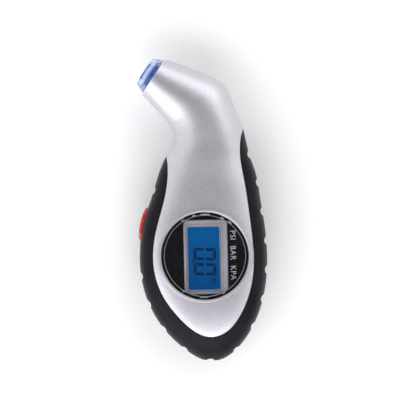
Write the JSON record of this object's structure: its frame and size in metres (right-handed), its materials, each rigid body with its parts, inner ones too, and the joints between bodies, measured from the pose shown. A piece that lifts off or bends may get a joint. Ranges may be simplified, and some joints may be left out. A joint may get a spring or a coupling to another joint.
{
  "type": "tire pressure gauge",
  "caption": "Hand-held digital tire pressure gauge: silver shell with a bent neck, lit chuck, round display window, red side button and a black rubber grip.",
  "frame": {"origin": "where the dial's axis meets the flat back that the gauge lies on", "axes": "+Z out of the display, +Y towards the neck, +X to the right when the display is read from the front; the chuck bends to -X"},
  "size_m": [0.0578, 0.1339, 0.0312],
  "materials": {
    "silver_paint": "satin silver paint over plastic",
    "grip_rubber": "fine matte",
    "zinc_steel": "zinc plated",
    "clear_lens": "clear, polished",
    "seal_rubber": "moulded",
    "seal_blue": "moulded, deep blue",
    "dial_black": "gloss black",
    "silver_trim": "satin silver paint",
    "display_glass": "lit blue display",
    "connector_rubber": "striped conductive rubber",
    "light_guide": "frosted clear",
    "led_body": "clear epoxy",
    "inner_plastic": "moulded black",
    "circuit_board": "solder mask",
    "chip_black": "moulded epoxy",
    "sensor_ceramic": "fired, matte",
    "switch_white": "moulded",
    "button_red": "moulded gloss",
    "clear_tip": "clear, pale blue",
    "brass_parts": "turned",
    "wire_red": "insulated wire",
    "hose_rubber": "smooth",
    "battery_steel": "stainless",
    "contact_plate": "nickel plated spring strip"
  },
  "bodies": {
    "case": {"front_shell": "silver_paint", "rear_shell": "silver_paint", "rubber_grip": "grip_rubber", "case_screws": "zinc_steel", "dial_lens": "clear_lens", "lens_gasket": "seal_rubber", "dial_face": "dial_black", "lcd_frame": "silver_trim", "lcd_glass": "display_glass", "zebra_strips": "connector_rubber", "backlight_guide": "light_guide", "backlight_led": "led_body", "lcd_holder": "inner_plastic", "main_pcb": "circuit_board", "controller_chip": "chip_black", "pressure_sensor": "sensor_ceramic", "smd_parts": "sensor_ceramic", "pcb_screws": "zinc_steel", "side_switch_body": "chip_black", "nozzle_tip": "clear_tip", "nozzle_gasket": "seal_blue", "valve_pin": "brass_parts", "nozzle_core": "brass_parts", "core_o_ring": "seal_rubber", "nozzle_led": "led_body", "led_wires": "wire_red", "air_hose": "hose_rubber", "hose_clips": "zinc_steel", "coin_battery": "battery_steel", "battery_spring_contact": "contact_plate", "battery_side_contact": "contact_plate", "battery_leads": "wire_red"},
    "power_button": {"power_button": "button_red"},
    "switch_plunger": {"switch_plunger": "switch_white"},
    "battery_cover": {"battery_cover": "inner_plastic", "battery_cover_ring": "seal_rubber"}
  },
  "joints": [
    {"name": "power_button_press", "type": "slide", "parent": "case", "child": "power_button", "axis": [0.976, -0.218, 0], "range_m": [0, 0.0008], "stiffness_N_per_m": 1000},
    {"name": "switch_plunger_press", "type": "slide", "parent": "case", "child": "switch_plunger", "axis": [0.976, -0.218, 0], "range_m": [0, 0.0008]},
    {"name": "battery_cover_turn", "type": "hinge", "parent": "case", "child": "battery_cover", "pos_m": [0, -0.0145, 0.0004], "axis": [0, 0, -1], "range_deg": [0, 45]}
  ],
  "couplings": [
    {"joint": "switch_plunger_press", "follows": "power_button_press", "ratio": 1}
  ]
}
